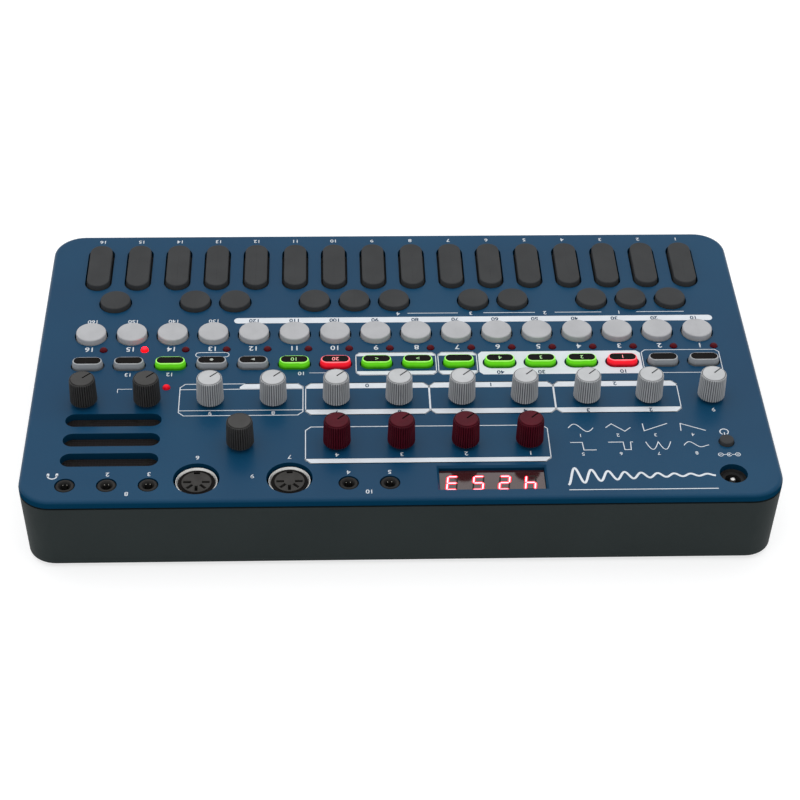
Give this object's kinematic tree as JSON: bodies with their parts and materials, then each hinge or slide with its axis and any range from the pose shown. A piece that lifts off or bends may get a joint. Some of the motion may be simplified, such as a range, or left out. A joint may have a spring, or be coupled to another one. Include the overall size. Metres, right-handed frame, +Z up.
{
  "type": "desktop synthesizer",
  "caption": "Compact desktop synthesizer: flat panel with round-ended keys, round buttons, fluted knobs, a character display and upright sockets over a shallow case.",
  "frame": {"origin": "centre of the case in plan, on the table under the rubber feet", "axes": "+X towards the player's right, +Y towards the rear edge with the sockets, +Z up out of the panel"},
  "size_m": [0.297, 0.176, 0.048],
  "materials": {
    "cover_blue": "satin",
    "case_charcoal": "matte",
    "key_grey": "matte",
    "button_grey": "satin",
    "button_green": "satin, lit from below",
    "knob_grey": "matte",
    "knob_dark": "matte",
    "knob_maroon": "matte",
    "lamp_red": "clear red lens",
    "display_face": "smoked",
    "socket_black": "matte",
    "socket_metal": "nickel plated",
    "screw_steel": "zinc plated",
    "contact_metal": "nickel plated",
    "board_green": "solder resist",
    "speaker_paper": "paper",
    "foot_rubber": "matte"
  },
  "bodies": {
    "case": {"bottom_case": "case_charcoal", "top_cover": "cover_blue", "rubber_feet": "foot_rubber", "case_screws": "screw_steel", "circuit_board": "board_green", "potentiometers": "socket_black", "panel_jacks": "socket_black", "din_shells": "socket_metal", "din_inserts": "socket_black", "led_display": "display_face", "panel_lamps": "lamp_red", "speaker": "speaker_paper", "battery_contacts": "contact_metal"},
    "natural_key_01_body": {"natural_key_01": "key_grey"},
    "natural_key_02_body": {"natural_key_02": "key_grey"},
    "natural_key_03_body": {"natural_key_03": "key_grey"},
    "natural_key_04_body": {"natural_key_04": "key_grey"},
    "natural_key_05_body": {"natural_key_05": "key_grey"},
    "natural_key_06_body": {"natural_key_06": "key_grey"},
    "natural_key_07_body": {"natural_key_07": "key_grey"},
    "natural_key_08_body": {"natural_key_08": "key_grey"},
    "natural_key_09_body": {"natural_key_09": "key_grey"},
    "natural_key_10_body": {"natural_key_10": "key_grey"},
    "natural_key_11_body": {"natural_key_11": "key_grey"},
    "natural_key_12_body": {"natural_key_12": "key_grey"},
    "natural_key_13_body": {"natural_key_13": "key_grey"},
    "natural_key_14_body": {"natural_key_14": "key_grey"},
    "natural_key_15_body": {"natural_key_15": "key_grey"},
    "natural_key_16_body": {"natural_key_16": "key_grey"},
    "sharp_key_01_body": {"sharp_key_01": "key_grey"},
    "sharp_key_02_body": {"sharp_key_02": "key_grey"},
    "sharp_key_03_body": {"sharp_key_03": "key_grey"},
    "sharp_key_04_body": {"sharp_key_04": "key_grey"},
    "sharp_key_05_body": {"sharp_key_05": "key_grey"},
    "sharp_key_06_body": {"sharp_key_06": "key_grey"},
    "sharp_key_07_body": {"sharp_key_07": "key_grey"},
    "sharp_key_08_body": {"sharp_key_08": "key_grey"},
    "sharp_key_09_body": {"sharp_key_09": "key_grey"},
    "sharp_key_10_body": {"sharp_key_10": "key_grey"},
    "sharp_key_11_body": {"sharp_key_11": "key_grey"},
    "step_buttons_body": {"step_button_mat": "button_grey"},
    "function_buttons_body": {"function_button_mat": "button_green"},
    "power_button_body": {"power_button": "key_grey"},
    "front_knob_01_body": {"front_knob_01": "knob_grey"},
    "front_knob_02_body": {"front_knob_02": "knob_grey"},
    "front_knob_03_body": {"front_knob_03": "knob_grey"},
    "front_knob_04_body": {"front_knob_04": "knob_grey"},
    "front_knob_05_body": {"front_knob_05": "knob_grey"},
    "front_knob_06_body": {"front_knob_06": "knob_grey"},
    "front_knob_07_body": {"front_knob_07": "knob_grey"},
    "front_knob_08_body": {"front_knob_08": "knob_grey"},
    "front_knob_09_body": {"front_knob_09": "knob_grey"},
    "front_knob_10_body": {"front_knob_10": "knob_dark"},
    "front_knob_11_body": {"front_knob_11": "knob_dark"},
    "rear_knob_1_body": {"rear_knob_1": "knob_maroon"},
    "rear_knob_2_body": {"rear_knob_2": "knob_maroon"},
    "rear_knob_3_body": {"rear_knob_3": "knob_maroon"},
    "rear_knob_4_body": {"rear_knob_4": "knob_maroon"},
    "encoder_knob_body": {"encoder_knob": "knob_dark"},
    "battery_door_body": {"battery_door": "case_charcoal"}
  },
  "joints": [
    {"name": "natural_key_01_press", "type": "slide", "parent": "case", "child": "natural_key_01_body", "axis": [0, 0, 1], "range_m": [-0.0012, 0], "stiffness_N_per_m": 300, "springref_m": 0.001},
    {"name": "natural_key_02_press", "type": "slide", "parent": "case", "child": "natural_key_02_body", "axis": [0, 0, 1], "range_m": [-0.0012, 0], "stiffness_N_per_m": 300, "springref_m": 0.001},
    {"name": "natural_key_03_press", "type": "slide", "parent": "case", "child": "natural_key_03_body", "axis": [0, 0, 1], "range_m": [-0.0012, 0], "stiffness_N_per_m": 300, "springref_m": 0.001},
    {"name": "natural_key_04_press", "type": "slide", "parent": "case", "child": "natural_key_04_body", "axis": [0, 0, 1], "range_m": [-0.0012, 0], "stiffness_N_per_m": 300, "springref_m": 0.001},
    {"name": "natural_key_05_press", "type": "slide", "parent": "case", "child": "natural_key_05_body", "axis": [0, 0, 1], "range_m": [-0.0012, 0], "stiffness_N_per_m": 300, "springref_m": 0.001},
    {"name": "natural_key_06_press", "type": "slide", "parent": "case", "child": "natural_key_06_body", "axis": [0, 0, 1], "range_m": [-0.0012, 0], "stiffness_N_per_m": 300, "springref_m": 0.001},
    {"name": "natural_key_07_press", "type": "slide", "parent": "case", "child": "natural_key_07_body", "axis": [0, 0, 1], "range_m": [-0.0012, 0], "stiffness_N_per_m": 300, "springref_m": 0.001},
    {"name": "natural_key_08_press", "type": "slide", "parent": "case", "child": "natural_key_08_body", "axis": [0, 0, 1], "range_m": [-0.0012, 0], "stiffness_N_per_m": 300, "springref_m": 0.001},
    {"name": "natural_key_09_press", "type": "slide", "parent": "case", "child": "natural_key_09_body", "axis": [0, 0, 1], "range_m": [-0.0012, 0], "stiffness_N_per_m": 300, "springref_m": 0.001},
    {"name": "natural_key_10_press", "type": "slide", "parent": "case", "child": "natural_key_10_body", "axis": [0, 0, 1], "range_m": [-0.0012, 0], "stiffness_N_per_m": 300, "springref_m": 0.001},
    {"name": "natural_key_11_press", "type": "slide", "parent": "case", "child": "natural_key_11_body", "axis": [0, 0, 1], "range_m": [-0.0012, 0], "stiffness_N_per_m": 300, "springref_m": 0.001},
    {"name": "natural_key_12_press", "type": "slide", "parent": "case", "child": "natural_key_12_body", "axis": [0, 0, 1], "range_m": [-0.0012, 0], "stiffness_N_per_m": 300, "springref_m": 0.001},
    {"name": "natural_key_13_press", "type": "slide", "parent": "case", "child": "natural_key_13_body", "axis": [0, 0, 1], "range_m": [-0.0012, 0], "stiffness_N_per_m": 300, "springref_m": 0.001},
    {"name": "natural_key_14_press", "type": "slide", "parent": "case", "child": "natural_key_14_body", "axis": [0, 0, 1], "range_m": [-0.0012, 0], "stiffness_N_per_m": 300, "springref_m": 0.001},
    {"name": "natural_key_15_press", "type": "slide", "parent": "case", "child": "natural_key_15_body", "axis": [0, 0, 1], "range_m": [-0.0012, 0], "stiffness_N_per_m": 300, "springref_m": 0.001},
    {"name": "natural_key_16_press", "type": "slide", "parent": "case", "child": "natural_key_16_body", "axis": [0, 0, 1], "range_m": [-0.0012, 0], "stiffness_N_per_m": 300, "springref_m": 0.001},
    {"name": "sharp_key_01_press", "type": "slide", "parent": "case", "child": "sharp_key_01_body", "axis": [0, 0, 1], "range_m": [-0.0012, 0], "stiffness_N_per_m": 300, "springref_m": 0.001},
    {"name": "sharp_key_02_press", "type": "slide", "parent": "case", "child": "sharp_key_02_body", "axis": [0, 0, 1], "range_m": [-0.0012, 0], "stiffness_N_per_m": 300, "springref_m": 0.001},
    {"name": "sharp_key_03_press", "type": "slide", "parent": "case", "child": "sharp_key_03_body", "axis": [0, 0, 1], "range_m": [-0.0012, 0], "stiffness_N_per_m": 300, "springref_m": 0.001},
    {"name": "sharp_key_04_press", "type": "slide", "parent": "case", "child": "sharp_key_04_body", "axis": [0, 0, 1], "range_m": [-0.0012, 0], "stiffness_N_per_m": 300, "springref_m": 0.001},
    {"name": "sharp_key_05_press", "type": "slide", "parent": "case", "child": "sharp_key_05_body", "axis": [0, 0, 1], "range_m": [-0.0012, 0], "stiffness_N_per_m": 300, "springref_m": 0.001},
    {"name": "sharp_key_06_press", "type": "slide", "parent": "case", "child": "sharp_key_06_body", "axis": [0, 0, 1], "range_m": [-0.0012, 0], "stiffness_N_per_m": 300, "springref_m": 0.001},
    {"name": "sharp_key_07_press", "type": "slide", "parent": "case", "child": "sharp_key_07_body", "axis": [0, 0, 1], "range_m": [-0.0012, 0], "stiffness_N_per_m": 300, "springref_m": 0.001},
    {"name": "sharp_key_08_press", "type": "slide", "parent": "case", "child": "sharp_key_08_body", "axis": [0, 0, 1], "range_m": [-0.0012, 0], "stiffness_N_per_m": 300, "springref_m": 0.001},
    {"name": "sharp_key_09_press", "type": "slide", "parent": "case", "child": "sharp_key_09_body", "axis": [0, 0, 1], "range_m": [-0.0012, 0], "stiffness_N_per_m": 300, "springref_m": 0.001},
    {"name": "sharp_key_10_press", "type": "slide", "parent": "case", "child": "sharp_key_10_body", "axis": [0, 0, 1], "range_m": [-0.0012, 0], "stiffness_N_per_m": 300, "springref_m": 0.001},
    {"name": "sharp_key_11_press", "type": "slide", "parent": "case", "child": "sharp_key_11_body", "axis": [0, 0, 1], "range_m": [-0.0012, 0], "stiffness_N_per_m": 300, "springref_m": 0.001},
    {"name": "step_button_press", "type": "slide", "parent": "case", "child": "step_buttons_body", "axis": [0, 0, 1], "range_m": [-0.0012, 0], "stiffness_N_per_m": 300, "springref_m": 0.001},
    {"name": "function_button_press", "type": "slide", "parent": "case", "child": "function_buttons_body", "axis": [0, 0, 1], "range_m": [-0.0012, 0], "stiffness_N_per_m": 300, "springref_m": 0.001},
    {"name": "power_button_press", "type": "slide", "parent": "case", "child": "power_button_body", "axis": [0, 0, 1], "range_m": [-0.0012, 0], "stiffness_N_per_m": 300, "springref_m": 0.001},
    {"name": "front_knob_01_turn", "type": "hinge", "parent": "case", "child": "front_knob_01_body", "pos_m": [-0.127, 0.0282, 0.0354], "axis": [0, 0, 1], "range_deg": [-270, 0]},
    {"name": "front_knob_02_turn", "type": "hinge", "parent": "case", "child": "front_knob_02_body", "pos_m": [-0.1016, 0.0282, 0.0354], "axis": [0, 0, 1], "range_deg": [-270, 0]},
    {"name": "front_knob_03_turn", "type": "hinge", "parent": "case", "child": "front_knob_03_body", "pos_m": [-0.0762, 0.0282, 0.0354], "axis": [0, 0, 1], "range_deg": [-270, 0]},
    {"name": "front_knob_04_turn", "type": "hinge", "parent": "case", "child": "front_knob_04_body", "pos_m": [-0.0508, 0.0282, 0.0354], "axis": [0, 0, 1], "range_deg": [-270, 0]},
    {"name": "front_knob_05_turn", "type": "hinge", "parent": "case", "child": "front_knob_05_body", "pos_m": [-0.0254, 0.0282, 0.0354], "axis": [0, 0, 1], "range_deg": [-270, 0]},
    {"name": "front_knob_06_turn", "type": "hinge", "parent": "case", "child": "front_knob_06_body", "pos_m": [0, 0.0282, 0.0354], "axis": [0, 0, 1], "range_deg": [-270, 0]},
    {"name": "front_knob_07_turn", "type": "hinge", "parent": "case", "child": "front_knob_07_body", "pos_m": [0.0254, 0.0282, 0.0354], "axis": [0, 0, 1], "range_deg": [-270, 0]},
    {"name": "front_knob_08_turn", "type": "hinge", "parent": "case", "child": "front_knob_08_body", "pos_m": [0.0508, 0.0282, 0.0354], "axis": [0, 0, 1], "range_deg": [-270, 0]},
    {"name": "front_knob_09_turn", "type": "hinge", "parent": "case", "child": "front_knob_09_body", "pos_m": [0.0762, 0.0282, 0.0354], "axis": [0, 0, 1], "range_deg": [-270, 0]},
    {"name": "front_knob_10_turn", "type": "hinge", "parent": "case", "child": "front_knob_10_body", "pos_m": [0.1016, 0.0282, 0.0354], "axis": [0, 0, 1], "range_deg": [-270, 0]},
    {"name": "front_knob_11_turn", "type": "hinge", "parent": "case", "child": "front_knob_11_body", "pos_m": [0.127, 0.0282, 0.0354], "axis": [0, 0, 1], "range_deg": [-270, 0]},
    {"name": "rear_knob_1_turn", "type": "hinge", "parent": "case", "child": "rear_knob_1_body", "pos_m": [-0.0508, 0.0552, 0.0354], "axis": [0, 0, 1], "range_deg": [-270, 0]},
    {"name": "rear_knob_2_turn", "type": "hinge", "parent": "case", "child": "rear_knob_2_body", "pos_m": [-0.0254, 0.0552, 0.0354], "axis": [0, 0, 1], "range_deg": [-270, 0]},
    {"name": "rear_knob_3_turn", "type": "hinge", "parent": "case", "child": "rear_knob_3_body", "pos_m": [0, 0.0552, 0.0354], "axis": [0, 0, 1], "range_deg": [-270, 0]},
    {"name": "rear_knob_4_turn", "type": "hinge", "parent": "case", "child": "rear_knob_4_body", "pos_m": [0.0254, 0.0552, 0.0354], "axis": [0, 0, 1], "range_deg": [-270, 0]},
    {"name": "encoder_turn", "type": "hinge", "parent": "case", "child": "encoder_knob_body", "pos_m": [0.0635, 0.0552, 0.0354], "axis": [0, 0, 1], "continuous": true},
    {"name": "battery_door_swing", "type": "hinge", "parent": "case", "child": "battery_door_body", "pos_m": [0, 0.02845, 0.001], "axis": [1, 0, 0], "range_deg": [0, 75]}
  ]
}
